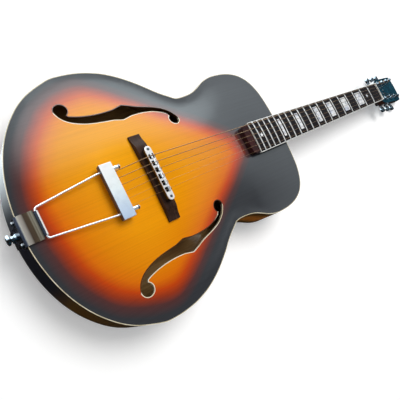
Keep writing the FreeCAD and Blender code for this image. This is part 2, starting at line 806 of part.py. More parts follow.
def make_truss():
    drop = -board_thickness - rod_depth
    start = V(-join_place + rod_heel_gap, 0, drop)
    nut_start = rod_reach_past_nut - rod_nut_length
    rod = round_bar(rod_radius, join_place - rod_heel_gap + nut_start, start, V(1, 0, 0))
    stub = round_bar(rod_thread_radius, rod_nut_length, V(nut_start, 0, drop), V(1, 0, 0))
    add("truss_rod", in_neck(rod.fuse(stub)))
    hexagon = []
    for k in range(6):
        angle = math.pi * k / 3
        hexagon.append(V(nut_start + seam, rod_radius * math.cos(angle), drop + rod_radius * math.sin(angle)))
    nut = polygon_face(hexagon).extrude(V(rod_nut_length - seam, 0, 0))
    bore = round_bar(rod_thread_radius + seam, rod_nut_length, V(nut_start, 0, drop), V(1, 0, 0))
    add("truss_rod_nut", in_neck(nut.cut(bore)))
    cover = cover_outline(0.0).extrude(V(0, 0, cover_thickness))
    screws = []
    for x, y in cover_screw_places():
        cover = cover.cut(round_bar(small_screw_radius + seam, cover_thickness, V(x, y, 0)))
        screws.append(in_head(small_screw(x, y, cover_thickness, V(0, 0, 1))))
    add("truss_rod_cover", in_head(cover))
    add("truss_cover_screws", *screws)

# Wooden block that carries the fingerboard over the top
def make_support():
    start = -board_length - support_overhang
    half = support_width / 2
    deep = -board_thickness - reach_past_body
    block = box(V(start, -half, deep), V(-join_place - seam, half, -board_thickness))
    block = block.fuse(box(V(start, -half, deep), V(-board_length - seam, half, -support_drop)))
    block = block.removeSplitter()
    upright = [edge for edge in block.Edges if abs(edge.CenterOfMass.x - start) < seam
               and abs(abs(edge.CenterOfMass.y) - half) < seam]
    block = block.makeFillet(support_corner, upright)
    under_rim = outline_prism(-reach_past_body, -reach_past_body, rim_z)
    add("fingerboard_support", in_neck(block).cut(below_top).cut(under_rim))

# Bridge
def make_bridge_base():
    half = base_length / 2
    low = rim_z
    end_high = rim_z + top_arch * arch_share(bridge_x, half) + base_end_height
    side = [V(0, half, low), V(0, half, end_high)]
    slope = curve_through([side[1], V(0, (half + base_flat) / 2, end_high + 0.4 * (base_top_z - end_high)),
                           V(0, base_flat, base_top_z)], V(0, -1, 0.1), V(0, -1, 0.1))
    mirrored = slope.mirror(V(0, 0, 0), V(0, 1, 0))
    edges = [
        Part.makeLine(side[0], side[1]),
        slope,
        Part.makeLine(V(0, base_flat, base_top_z), V(0, -base_flat, base_top_z)),
        mirrored,
        Part.makeLine(V(0, -half, end_high), V(0, -half, low)),
        Part.makeLine(V(0, -half, low), side[0]),
    ]
    face = Part.Face(Part.Wire(Part.__sortEdges__(edges)))
    face.translate(V(bridge_x - base_width / 2, 0, 0))
    base = face.extrude(V(base_width, 0, 0)).cut(below_top)
    relief_top = rim_z + top_arch + base_relief
    base = base.cut(box(V(bridge_x - base_width, -base_relief_half, low),
                        V(bridge_x + base_width, base_relief_half, relief_top)))
    for side_sign in (1, -1):
        socket = V(bridge_x, side_sign * post_spacing / 2, base_top_z)
        base = base.cut(round_bar(post_radius + seam, post_embed + seam, socket, V(0, 0, -1)))
    add("bridge_base", base)

def make_bridge_posts():
    posts = []
    for side in (1, -1):
        low = V(bridge_x, side * post_spacing / 2, base_top_z - post_embed)
        post = round_bar(post_radius, bridge_top_z - base_top_z + post_embed, low)
        middle = V(bridge_x, low.y, bridge_top_z)
        reach = V(post_radius, screw_slot_width / 2, 0.5 * post_radius)
        posts.append(post.cut(box(middle - reach, middle + reach)))
    add("bridge_posts", *posts)

def make_thumbwheels():
    for name, side in (("thumbwheel_bass", 1), ("thumbwheel_treble", -1)):
        middle = V(bridge_x, side * post_spacing / 2, wheel_z)
        wheel = round_bar(wheel_radius, wheel_thickness, middle)
        bore = round_bar(post_radius + running_clearance, wheel_thickness, middle)
        notches = []
        for k in range(wheel_notches):
            angle = 2 * math.pi * k / wheel_notches
            place = middle + V(math.cos(angle), math.sin(angle), 0) * wheel_radius
            notches.append(round_bar(wheel_notch_radius, wheel_thickness, place))
        add(name, wheel.cut([bore] + notches))

def make_bridge_body():
    half = bridge_length / 2 - bridge_width / 2
    slab = box(V(bridge_x - bridge_width / 2, -half, bridge_z),
               V(bridge_x + bridge_width / 2, half, bridge_top_z))
    for side in (1, -1):
        end = V(bridge_x, side * half, bridge_z)
        slab = slab.fuse(round_bar(bridge_width / 2, bridge_body_height, end))
    slab = slab.removeSplitter()
    rims = [edge for edge in slab.Edges if abs(edge.CenterOfMass.z - bridge_top_z) < seam]
    slab = slab.makeFillet(bridge_edge_round, rims)
    for side in (1, -1):
        foot = V(bridge_x, side * post_spacing / 2, bridge_z)
        slab = slab.cut(round_bar(post_radius + running_clearance, bridge_body_height, foot))
    screws = []
    screw_z = bridge_top_z - saddle_screw_drop
    front = bridge_x + bridge_width / 2
    for index in range(len(string_radii)):
        y = saddle_point(index).y
        half_pocket = saddle_width / 2 + saddle_clearance
        slab = slab.cut(box(V(bridge_x - saddle_pocket / 2, y - half_pocket, bridge_z + bridge_floor),
                            V(bridge_x + saddle_pocket / 2, y + half_pocket, bridge_top_z + 1)))
        back = bridge_x - saddle_pocket / 2 - saddle_screw_tip
        hole = round_bar(saddle_screw_radius + seam, bridge_width, V(back - seam, y, screw_z), V(1, 0, 0))
        slab = slab.cut(hole)
        shank = round_bar(saddle_screw_radius, front - back, V(back, y, screw_z), V(1, 0, 0))
        head = round_bar(saddle_screw_head, saddle_screw_head_length, V(front, y, screw_z), V(1, 0, 0))
        middle = V(front + saddle_screw_head_length, y, screw_z)
        reach = V(0.5 * saddle_screw_head_length, screw_slot_width / 2, saddle_screw_head)
        screws.append(shank.fuse(head).cut(box(middle - reach, middle + reach)))
    add("bridge_body", slab)
    add("saddle_screws", *screws)

def make_saddles():
    floor = bridge_z + bridge_floor + saddle_clearance
    for index, radius in enumerate(string_radii):
        rest = saddle_point(index)
        crest = rest.z + 0.5 * radius
        half = saddle_length / 2
        shoulder = crest - 0.9 * half
        profile = polygon_face([V(rest.x - half, 0, floor), V(rest.x + half, 0, floor),
                                V(rest.x + half, 0, shoulder), V(rest.x, 0, crest),
                                V(rest.x - half, 0, shoulder)])
        profile.translate(V(0, rest.y - saddle_width / 2, 0))
        saddle = profile.extrude(V(0, saddle_width, 0))
        start = V(rest.x - saddle_length, rest.y, bridge_top_z - saddle_screw_drop)
        bore = round_bar(saddle_screw_radius + running_clearance, 3 * saddle_length, start, V(1, 0, 0))
        start = V(rest.x - saddle_length, rest.y, rest.z)
        notch = round_bar(radius + string_rest_gap, 3 * saddle_length, start, V(1, 0, 0))
        add("saddle_%d" % (index + 1), saddle.cut([bore, notch]))

# Tailpiece
bar_x = bridge_x - bar_from_bridge
bar_z = rim_z + top_arch * arch_share(bar_x, 0.0) + bar_over_top
wire_bar_z = bar_z + bar_height / 2 - wire_below_bar_middle
barrel_radius = wire_radius + running_clearance + barrel_wall
wire_tail_z = rim_z + wire_over_rim
wire_tail_x = tail_x + bracket_over_top

def string_anchor(index):
    behind_front = bar_x + bar_width / 2 - bar_sheet - 1.3 * ball_length
    return V(behind_front, saddle_point(index).y, bar_z + 0.38 * bar_height)

def make_bar():
    half = V(bar_width / 2, bar_length / 2, 0)
    outer = box(V(bar_x - half.x, -half.y, bar_z), V(bar_x + half.x, half.y, bar_z + bar_height))
    rims = [edge for edge in outer.Edges if edge.CenterOfMass.z > bar_z + 0.4 * bar_height]
    outer = outer.makeFillet(bar_edge_round, rims)
    inner = box(V(bar_x - half.x + bar_sheet, -half.y + bar_sheet, bar_z - 1),
                V(bar_x + half.x - bar_sheet, half.y - bar_sheet, bar_z + bar_height - bar_sheet))
    bar = outer.cut(inner)
    for side in (1, -1):
        start = V(bar_x - bar_width, side * wire_spread_at_bar / 2, wire_bar_z)
        bar = bar.cut(round_bar(wire_radius + running_clearance, 2 * bar_width, start, V(1, 0, 0)))
    for index, radius in enumerate(string_radii):
        anchor = string_anchor(index)
        way = saddle_point(index) - anchor
        bar = bar.cut(round_bar(radius + string_rest_gap, 4 * bar_sheet + 2 * ball_length, anchor, way))
    add("tailpiece_bar", bar)

def rounded_path(points, radii):
    edges = []
    start = points[0]
    for before, corner, after, radius in zip(points, points[1:], points[2:], radii):
        way_in = (corner - before).normalize()
        way_out = (after - corner).normalize()
        turn = math.acos(max(-1.0, min(1.0, way_in.dot(way_out))))
        setback = radius * math.tan(turn / 2)
        first = corner - way_in * setback
        last = corner + way_out * setback
        inward = (way_out - way_in).normalize()
        middle = corner + inward * (radius / math.cos(turn / 2) - radius)
        edges.append(Part.makeLine(start, first))
        edges.append(Part.Arc(first, middle, last).toShape())
        start = last
    edges.append(Part.makeLine(start, points[-1]))
    return edges

def pipe(edges, radius):
    wire = Part.Wire(edges)
    start = edges[0].valueAt(edges[0].FirstParameter)
    way = edges[0].tangentAt(edges[0].FirstParameter)
    ring = Part.Wire(Part.makeCircle(radius, start, way))
    return wire.makePipeShell([ring], True, False)

def make_wire():
    nose = bar_x + bar_width / 2 + wire_nose
    rear = bar_x - bar_width / 2 - wire_corner_radius
    bar_y = wire_spread_at_bar / 2
    tail_y = wire_spread_at_tail / 2
    points = [V(nose, -bar_y, wire_bar_z), V(rear, -bar_y, wire_bar_z), V(wire_tail_x, -tail_y, wire_tail_z),
              V(wire_tail_x, tail_y, wire_tail_z), V(rear, bar_y, wire_bar_z), V(nose, bar_y, wire_bar_z)]
    add("trapeze_wire", pipe(rounded_path(points, [4 * wire_corner_radius, wire_corner_radius,
                                                   wire_corner_radius, 4 * wire_corner_radius]), wire_radius))
    nuts = []
    start = bar_x + bar_width / 2
    for side in (1, -1):
        root = V(start, side * bar_y, wire_bar_z)
        sleeve = round_bar(sleeve_radius, sleeve_length, root, V(1, 0, 0))
        cap_start = root + V(sleeve_length, 0, 0)
        cap = round_bar(sleeve_cap_radius, sleeve_cap_length, cap_start, V(1, 0, 0))
        cap = cap.makeFillet(0.3 * sleeve_cap_length, [cap.Edges[0], cap.Edges[2]])
        bore = round_bar(wire_radius + seam, wire_nose + 2 * sleeve_cap_length, root, V(1, 0, 0))
        nuts.append(sleeve.fuse(cap).cut(bore))
    add("trapeze_nuts", *nuts)

def make_bracket():
    face_x = tail_x - glue_line - bracket_sheet / 2
    over_z = rim_z + bracket_bend
    roll_z = wire_tail_z - barrel_radius + bracket_sheet / 2
    points = [V(face_x, 0, rim_z - bracket_drop), V(face_x, 0, over_z), V(tail_x + bracket_flat, 0, over_z),
              V(wire_tail_x - 0.6 * barrel_radius, 0, roll_z), V(wire_tail_x, 0, roll_z)]
    path = Part.Wire(rounded_path(points, [bracket_bend, bracket_sheet, bracket_sheet]))
    ribbon = path.makeOffset2D(bracket_sheet / 2, fill=True, openResult=True)
    other = path.makeOffset2D(-bracket_sheet / 2, fill=True, openResult=True)
    sheet = ribbon.fuse(other)
    sheet.translate(V(0, -bracket_width / 2, 0))
    plate = sheet.extrude(V(0, bracket_width, 0))
    barrel_half = wire_spread_at_tail / 2 - wire_corner_radius - glue_line
    start = V(wire_tail_x, -barrel_half, wire_tail_z)
    barrel = round_bar(barrel_radius, 2 * barrel_half, start, V(0, 1, 0))
    bore_start = start - V(0, bracket_width / 2, 0)
    bore = round_bar(wire_radius + running_clearance, 2 * bracket_width, bore_start, V(0, 1, 0))
    corner = box(V(wire_tail_x - barrel_radius, barrel_half, rim_z),
                 V(wire_tail_x + 2 * wire_corner_radius, bracket_width, wire_tail_z + 2 * barrel_radius))
    side_clear = [corner, corner.mirror(V(0, 0, 0), V(0, 1, 0))]
    before = face_x - 2 * bracket_sheet
    beside_leg = box(V(before, bracket_leg_width / 2, rim_z - 2 * bracket_drop),
                     V(face_x + bracket_sheet, bracket_width, rim_z - bracket_leg_shoulder))
    side_clear += [beside_leg, beside_leg.mirror(V(0, 0, 0), V(0, 1, 0))]
    bracket = plate.fuse(barrel).cut([bore] + side_clear)
    through = 4 * bracket_sheet
    for y, drop in bracket_screws:
        hole = round_bar(screw_radius + seam, through, V(before, y, rim_z - drop), V(1, 0, 0))
        bracket = bracket.cut(hole)
    hole = round_bar(button_screw_radius + seam, through, V(before, 0, rim_z - button_drop), V(1, 0, 0))
    bracket = bracket.cut(hole)
    add("tail_bracket", bracket.removeSplitter())

def tail_holes():
    start = tail_x - bracket_sheet
    holes = []
    for y, drop in bracket_screws:
        holes.append(round_bar(screw_radius + seam, screw_length + tail_block_length,
                               V(start, y, rim_z - drop), V(1, 0, 0)))
    holes.append(round_bar(button_screw_radius + seam, button_screw_length + tail_block_length,
                           V(start, 0, rim_z - button_drop), V(1, 0, 0)))
    return holes

def make_tail_fittings():
    face = tail_x - glue_line - bracket_sheet
    screws = []
    for y, drop in bracket_screws:
        root = V(face, y, rim_z - drop)
        head = round_bar(screw_head_radius, screw_head_height, root, V(-1, 0, 0))
        rim = [edge for edge in head.Edges if abs(edge.CenterOfMass.x - (face - screw_head_height)) < seam]
        head = head.makeFillet(0.5 * screw_head_height, rim)
        middle = root - V(screw_head_height, 0, 0)
        reach = V(0.5 * screw_head_height, screw_head_radius, screw_slot_width / 2)
        head = head.cut(box(middle - reach, middle + reach))
        screws.append(head.fuse(round_bar(screw_radius, screw_length, root, V(1, 0, 0))))
    add("tail_screws", *screws)
    root = V(face, 0, rim_z - button_drop)
    tip = face - button_length
    land = tip + button_edge
    profile = [V(face, 0, 0), V(face, 0, button_base_radius), V(face - button_edge, 0, button_base_radius),
               V(face - 3 * button_edge, 0, button_waist_radius),
               V(land + button_head_land + 2 * button_edge, 0, button_waist_radius),
               V(land + button_head_land, 0, button_head_radius), V(land, 0, button_head_radius),
               V(tip, 0, 0.7 * button_head_radius), V(tip, 0, 0)]
    button = polygon_face(profile).revolve(V(0, 0, 0), V(1, 0, 0), 360)
    button.translate(V(0, 0, root.z))
    sink_radius = 1.9 * button_screw_radius
    bore = round_bar(button_screw_radius + seam, 2 * button_length, V(tip, 0, root.z), V(1, 0, 0))
    sink = round_bar(sink_radius + seam, button_recess, V(tip, 0, root.z), V(1, 0, 0))
    add("strap_button", button.cut([bore, sink]))
    head = round_bar(sink_radius, button_recess - seam, V(tip + seam, 0, root.z), V(1, 0, 0))
    middle = V(tip, 0, root.z)
    reach = V(0.6 * button_recess, 0.7 * button_screw_radius, screw_slot_width / 2)
    cross = box(middle - reach, middle + reach)
    reach = V(reach.x, reach.z, reach.y)
    cross = cross.fuse(box(middle - reach, middle + reach))
    shank_start = V(tip + button_recess, 0, root.z)
    shank = round_bar(button_screw_radius, button_screw_length, shank_start, V(1, 0, 0))
    add("strap_button_screw", head.fuse(shank).cut(cross))

# Tuners in the headstock frame: z up from the veneer's face
def tuners():
    places = []
    for row in range(3):
        y = tuner_row_half + tuner_row_flare * row
        places.append((tuner_first + tuner_pitch * row, y, 1))
    mirrored = [(x, -y, -1) for x, y, side in reversed(places)]
    return places + mirrored

head_back = -veneer_thickness - head_thickness

def tuner_hole(tuner):
    x, y, side = tuner
    return round_bar(tuner_hole_radius + bushing_fit, 4 * head_thickness, V(x, y, -3 * head_thickness))

def housing_screw_place(tuner):
    x, y, side = tuner
    inward = housing_width / 2 + small_screw_head + lug_rim
    return x + housing_length / 2 - 2 * small_screw_head - lug_rim, y - side * inward

def tuner_screw_core(tuner):
    x, y = housing_screw_place(tuner)
    return round_bar(small_screw_radius + seam, small_screw_length + seam, V(x, y, head_back), V(0, 0, 1))

key_drop = head_back - housing_wall - gear_thickness / 2 - gear_floor_gap
worm_offset = gear_radius + worm_radius + worm_gap

def make_tuner(tuner):
    x, y, side = tuner
    out = V(0, side, 0)
    low = head_back - housing_height
    middle_x = x + worm_offset / 2 - housing_shift
    shell = box(V(middle_x - housing_length / 2, y - housing_width / 2, low),
                V(middle_x + housing_length / 2, y + housing_width / 2, head_back))
    rims = [edge for edge in shell.Edges if edge.CenterOfMass.z < head_back - seam]
    shell = shell.makeFillet(housing_fillet, rims)
    collar_start = V(x + worm_offset, y + side * (housing_width / 2 - housing_wall), key_drop)
    shell = shell.fuse(round_bar(key_collar_radius, key_collar_length + housing_wall, collar_start, out))
    screw_x, screw_y = housing_screw_place(tuner)
    lug_half = small_screw_head + lug_rim
    lug_low = head_back - housing_wall
    lug = round_bar(lug_half, housing_wall, V(screw_x, screw_y, lug_low))
    tongue = box(V(screw_x - lug_half, min(screw_y, y), lug_low),
                 V(screw_x + lug_half, max(screw_y, y), head_back))
    shell = shell.fuse(lug.fuse(tongue))
    room = gear_radius + key_gap
    hollow = box(V(x - room, y - room, key_drop - gear_thickness / 2 - key_gap),
                 V(x + worm_offset + worm_radius + key_gap, y + room, head_back + key_gap))
    shell = shell.cut(hollow)
    key_bore_start = collar_start - out * housing_width
    shell = shell.cut(round_bar(key_shaft_radius + running_clearance, 3 * housing_width, key_bore_start, out))
    screw_bore_start = V(screw_x, screw_y, lug_low - housing_wall)
    shell = shell.cut(round_bar(small_screw_radius + seam, 3 * housing_wall, screw_bore_start))
    screw = small_screw(screw_x, screw_y, lug_low, V(0, 0, -1))
    bushing = round_bar(tuner_hole_radius, bushing_depth, V(x, y, -bushing_depth))
    collar = round_bar(bushing_collar_radius, bushing_collar_height, V(x, y, 0))
    top_rim = [edge for edge in collar.Edges if abs(edge.CenterOfMass.z - bushing_collar_height) < seam]
    collar = collar.makeFillet(0.4 * bushing_collar_height, top_rim)
    bore = round_bar(peg_radius + running_clearance, 3 * bushing_depth, V(x, y, -2 * bushing_depth))
    bushing = bushing.fuse(collar).cut(bore)
    return in_head(shell), in_head(screw), in_head(bushing)

def make_peg(number, tuner):
    x, y, side = tuner
    low = key_drop - gear_thickness / 2
    profile = [V(0, 0, low), V(peg_radius, 0, low), V(peg_radius, 0, peg_waist_low - peg_edge),
               V(peg_waist_radius, 0, peg_waist_low), V(peg_waist_radius, 0, peg_waist_high),
               V(peg_radius, 0, peg_waist_high + peg_edge), V(peg_radius, 0, peg_height - peg_edge),
               V(peg_radius - peg_edge, 0, peg_height), V(0, 0, peg_height)]
    peg = polygon_face(profile).revolve(V(0, 0, 0), V(0, 0, 1), 360)
    hole_start = V(-2 * peg_radius, 0, peg_waist_high - 1.3 * peg_hole_radius)
    hole = round_bar(peg_hole_radius, 4 * peg_radius, hole_start, V(1, 0, 0))
    gear = round_bar(gear_radius, gear_thickness, V(0, 0, low))
    gaps = []
    for k in range(gear_teeth):
        angle = 2 * math.pi * k / gear_teeth
        foot = gear_radius - gear_tooth_depth
        mouth = gear_radius + gear_tooth_depth
        gap = polygon_face([V(foot, -gear_gap_foot / 2, low), V(mouth, -gear_gap_mouth / 2, low),
                            V(mouth, gear_gap_mouth / 2, low), V(foot, gear_gap_foot / 2, low)])
        gap = gap.extrude(V(0, 0, gear_thickness))
        gap.rotate(V(0, 0, 0), V(0, 0, 1), math.degrees(angle))
        gaps.append(gap)
    peg = peg.cut(hole).fuse(gear.cut(gaps))
    peg.translate(V(x, y, 0))
    add("tuner_post_%d" % number, in_head(peg))

def knob_solid():
    half = knob_length / 2
    lobe = 0.5 * knob_width
    outline = [V(0, -knob_root_share * knob_width, 0), V(half - lobe, -0.5 * knob_width, 0),
               V(half, -0.1 * knob_width, 0), V(half - 0.6 * lobe, 0.5 * knob_width, 0),
               V(0, 0.44 * knob_width, 0)]
    full = outline + [V(-p.x, p.y, 0) for p in reversed(outline[1:-1])]
    curve = Part.BSplineCurve()
    curve.interpolate(Points=full, PeriodicFlag=True)
    wires = []
    for share, scale in ((-0.5, 0.62), (-0.28, 0.94), (0.0, 1.0), (0.28, 0.94), (0.5, 0.62)):
        wire = Part.Wire(curve.toShape()).scale(scale)
        wire.translate(V(0, 0, share * knob_thickness))
        wires.append(wire)
    return Part.makeLoft(wires, True)

def make_key(number, tuner):
    x, y, side = tuner
    out = V(0, side, 0)
    root = V(x + worm_offset, y, key_drop)
    inner = root - out * (gear_radius - worm_end_gap)
    outside = y + side * (housing_width / 2 + key_collar_length + key_gap)
    knob_root = V(root.x, outside + side * (knob_gap - key_gap), key_drop)
    shaft = bar_between(inner, knob_root, worm_radius)
    journal_start = V(root.x, y + side * (gear_radius + key_gap), key_drop)
    journal = bar_between(journal_start, knob_root, key_shaft_radius)
    flange = round_bar(key_collar_radius, key_flange, V(root.x, outside, key_drop), out)
    knob = knob_solid()
    knob.translate(V(0, knob_root_share * knob_width, 0))
    knob.rotate(V(0, 0, 0), V(0, 0, 1), 0 if side > 0 else 180)
    knob.translate(knob_root)
    add("tuner_key_%d" % number, in_head(shaft.fuse(journal).fuse(flange).fuse(knob)))

# Strings run from the bar over a saddle and the nut to two turns round a tuner post
def wrap_radius(index):
    return peg_waist_radius + wrap_clearance + string_radii[index]

def peg_touch(index):
    x, y, side = tuners()[index]
    start = head_place.inverse().multVec(nut_point(index))
    reach = wrap_radius(index)
    away = math.hypot(x - start.x, y - start.y)
    swing = math.acos(reach / away)
    toward = math.atan2(start.y - y, start.x - x)
    angle = toward + side * swing
    if abs(y + reach * math.sin(angle)) > abs(y + reach * math.sin(toward - side * swing)):
        angle = toward - side * swing
    place = V(x + reach * math.cos(angle), y + reach * math.sin(angle), wrap_height)
    return head_place.multVec(place), angle

def biarc(start, way_in, end, way_out):
    chord = end - start
    both = way_in + way_out
    lean = 2 * (1 - way_in.dot(way_out))
    dot = chord.dot(both)
    if lean < 1e-9:
        return [Part.makeLine(start, end)]
    reach = (-dot + math.sqrt(dot * dot + lean * chord.dot(chord))) / lean
    first = start + way_in * reach
    last = end - way_out * reach
    joint = (first + last) / 2
    edges = []
    for a, corner, b in ((start, first, joint), (joint, last, end)):
        half = (b - a).Length / 2
        lift = half * math.tan(math.acos(min(1.0, half / reach)) / 2)
        middle = (a + b) / 2
        edges.append(Part.Arc(a, middle + (corner - middle).normalize() * lift, b).toShape())
    return edges

def wrap_edges(index, start, way_in, angle):
    x, y, side = tuners()[index]
    radius = wrap_radius(index)
    step = (2 * string_radii[index] + wrap_gap) / 4
    turn = wrap_turn(index, angle, way_in)
    edges = []
    place = start
    way = way_in
    drop = math.atan2(4 * step, 2 * math.pi * radius)
    for k in range(1, 4 * wrap_turns + 1):
        swing = angle + turn * k * math.pi / 2
        point = V(x + radius * math.cos(swing), y + radius * math.sin(swing), wrap_height - step * k)
        level = V(-turn * math.sin(swing), turn * math.cos(swing), 0)
        tangent = level * math.cos(drop) - V(0, 0, math.sin(drop))
        next_place = head_place.multVec(point)
        next_way = head_place.Rotation.multVec(tangent)
        edges.extend(biarc(place, way, next_place, next_way))
        place = next_place
        way = next_way
    return edges

def wrap_turn(index, angle, way_in):
    local = head_place.Rotation.inverted().multVec(way_in)
    return 1 if local.dot(V(-math.sin(angle), math.cos(angle), 0)) > 0 else -1

def make_strings():
    strings = []
    for index, radius in enumerate(string_radii):
        anchor = string_anchor(index)
        touch, angle = peg_touch(index)
        route = [anchor, saddle_point(index), nut_point(index), touch]
        edges = rounded_path(route, [bend_radius, bend_radius])
        way = (touch - nut_point(index)).normalize()
        turns = wrap_edges(index, touch, way, angle)
        tube = pipe(edges + turns, radius)
        strings.append(Part.makeCompound([tube, ball_end(index)]))
        print("string", index + 1, "gap between turns", round(turn_gap(turns, radius), 2))
    add("wound_strings", *strings[:wound_count])
    add("plain_strings", *strings[wound_count:])

def ball_end(index):
    anchor = string_anchor(index)
    way = saddle_point(index) - anchor
    ball = round_bar(ball_radius, ball_length, anchor, way)
    return ball.cut(round_bar(string_radii[index] + seam, ball_length, anchor, way))

def turn_gap(edges, radius):
    points = []
    for edge in edges:
        points.extend(edge.discretize(9)[:-1])
    per_turn = len(points) // wrap_turns
    least = min((points[i] - points[j]).Length for i in range(len(points))
                for j in range(i + per_turn // 2, len(points)))
    return least - 2 * radius

def make_tuners():
    housings = []
    screws = []
    bushings = []
    for number, tuner in enumerate(tuners(), 1):
        shell, screw, bushing = make_tuner(tuner)
        housings.append(shell)
        screws.append(screw)
        bushings.append(bushing)
        make_peg(number, tuner)
        make_key(number, tuner)
    add("tuner_housings", *housings)
    add("tuner_screws", *screws)
    add("tuner_bushings", *bushings)

make_body()
make_inside()
make_board()
make_nut()
make_neck()
make_truss()
make_support()
make_bridge_base()
make_bridge_posts()
make_thumbwheels()
make_bridge_body()
make_saddles()
make_bar()
make_wire()
make_bracket()
make_tail_fittings()
make_strings()
make_tuners()

os.makedirs("parts", exist_ok=True)
for name, shape in parts.items():
    shape.exportStep("parts/%s.step" % name)
whole = Part.makeCompound(list(parts.values())).BoundBox
print("pieces", len(parts), "size", round(whole.XLength, 1), round(whole.YLength, 1), round(whole.ZLength, 1))
print("box", [round(v, 2) for v in (whole.XMin, whole.XMax, whole.YMin, whole.YMax, whole.ZMin, whole.ZMax)])
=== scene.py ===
import bpy
import bmesh
from mathutils import Euler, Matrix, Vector


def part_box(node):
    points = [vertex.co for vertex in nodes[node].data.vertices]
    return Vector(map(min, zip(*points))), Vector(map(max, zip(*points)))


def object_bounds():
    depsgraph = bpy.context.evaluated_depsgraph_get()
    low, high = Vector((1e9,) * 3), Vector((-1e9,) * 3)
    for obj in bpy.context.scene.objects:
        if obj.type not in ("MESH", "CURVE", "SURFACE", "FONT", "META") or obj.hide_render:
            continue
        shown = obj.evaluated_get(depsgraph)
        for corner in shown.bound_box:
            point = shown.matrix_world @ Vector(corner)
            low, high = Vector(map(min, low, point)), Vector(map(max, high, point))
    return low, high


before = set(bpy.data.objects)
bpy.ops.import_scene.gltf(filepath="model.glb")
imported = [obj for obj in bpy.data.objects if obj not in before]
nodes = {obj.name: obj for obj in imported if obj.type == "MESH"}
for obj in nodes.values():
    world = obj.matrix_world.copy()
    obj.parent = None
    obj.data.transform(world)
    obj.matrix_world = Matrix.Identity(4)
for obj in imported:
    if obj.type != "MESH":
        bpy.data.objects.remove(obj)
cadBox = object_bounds()
print("frame loaded:", len(nodes), "nodes")

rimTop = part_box("top_binding")[1].z  # height of the flat rim of the top
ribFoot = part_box("bass_rib")[0].z
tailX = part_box("top_binding")[0].x
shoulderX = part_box("top_binding")[1].x
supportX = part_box("fingerboard_support")[0].x
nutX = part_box("nut")[0].x + 0.0004  # front edge of the nut, at string height
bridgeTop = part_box("bridge_body")[1].z
barLow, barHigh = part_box("tailpiece_bar")
oneToSix = [str(number) for number in range(1, 7)]


def tint(red, green, blue):  # screen colour from 0 to 255, as the shader wants it
    parts = [c / 255 for c in (red, green, blue)]
    return tuple(((c + 0.055) / 1.055) ** 2.4 if c > 0.04 else c / 12.92 for c in parts) + (1.0,)


class Field:  # a socket, so that shader sums are written as sums
    def __init__(self, tree, socket=None):
        self.tree = tree
        self.socket = socket

    def node(self, kind, settings=None, sockets=None, output=0):
        made = self.tree.nodes.new("ShaderNode" + kind)
        for name, value in (settings or {}).items():
            if name == "stops":
                ramp = made.color_ramp
                while len(ramp.elements) > 1:
                    ramp.elements.remove(ramp.elements[-1])
                ramp.elements[0].position, ramp.elements[0].color = value[0]
                for place, colour in value[1:]:
                    ramp.elements.new(place).color = colour
            else:
                setattr(made, name, value)
        for name, value in (sockets or {}).items():
            if isinstance(value, Field):
                self.tree.links.new(value.socket, made.inputs[name])
            else:
                made.inputs[name].default_value = value
        return Field(self.tree, made.outputs[output])

    def calc(self, operation, first, second=0.0):
        return self.node("Math", {"operation": operation}, {0: first, 1: second})

    def __add__(self, other):
        return self.calc("ADD", self, other)

    def __radd__(self, other):
        return self.calc("ADD", other, self)

    def __sub__(self, other):
        return self.calc("SUBTRACT", self, other)

    def __rsub__(self, other):
        return self.calc("SUBTRACT", other, self)

    def __mul__(self, other):
        return self.calc("MULTIPLY", self, other)

    def __rmul__(self, other):
        return self.calc("MULTIPLY", other, self)

    def __truediv__(self, other):
        return self.calc("DIVIDE", self, other)

    def __rtruediv__(self, other):
        return self.calc("DIVIDE", other, self)

    def __pow__(self, other):
        return self.calc("POWER", self, other)

    def __rpow__(self, other):
        return self.calc("POWER", other, self)

    def __abs__(self):
        return self.calc("ABSOLUTE", self)

    def smooth(self, low, high):
        return self.node("MapRange", {"interpolation_type": "SMOOTHSTEP"}, {0: self, 1: low, 2: high})

    def ramp(self, stops):
        return self.node("ValToRGB", {"stops": stops}, {"Fac": self})

    def mix(self, first, second, blend="MIX"):
        settings = {"data_type": "RGBA", "blend_type": blend}
        return self.node("Mix", settings, {0: self, 6: first, 7: second}, 2)

    def noise(self, scale, detail=3.0, stretch=(1, 1, 1)):
        place = self.node("TexCoord", output="Object")
        place = self.node("Mapping", sockets={"Vector": place, "Scale": stretch})
        return self.node("TexNoise", sockets={"Vector": place, "Scale": scale, "Detail": detail})

    def along(self, axis, source="Object"):
        place = self.node("TexCoord", output=source)
        return self.node("SeparateXYZ", sockets={"Vector": place}, output=axis)

    def facing(self, axis, sign, start=0.25, full=0.6):  # 1 where the surface looks along the signed axis
        return (self.along(axis, "Normal") * sign).smooth(start, full)

    def bands(self, axis, start, length, stops):  # colours laid along an axis, in metres from start
        share = (self.along(axis) - start) / length
        return share.ramp([(place / length, colour) for place, colour in stops])


class Finish:  # a material whose fixed values sit on the shader's own sockets
    def __init__(self, name, **fixed):
        self.material = bpy.data.materials.new(name)
        self.material.use_nodes = True
        self.tree = self.material.node_tree
        self.shader = self.tree.nodes["Principled BSDF"]
        self.field = Field(self.tree)
        for key, value in fixed.items():
            self.shader.inputs[key.replace("_", " ")].default_value = value

    def feed(self, name, field):
        self.tree.links.new(field.socket, self.shader.inputs[name])

    def bump(self, height, strength, distance):
        sockets = {"Height": height, "Strength": strength, "Distance": distance}
        self.feed("Normal", self.field.node("Bump", sockets=sockets))

    def dress(self, *names):
        for name in names:
            for slot in nodes[name].material_slots:
                slot.material = self.material


# Unfinished wood, inside the body and on cut edges
woods = {
    "dark": tint(140, 102, 58), "light": tint(176, 138, 84), "edge": tint(44, 27, 15),
    "stretch": (8, 300, 300), "rough": 0.6, "roughSpread": 0.2, "roughScale": 40.0,
}


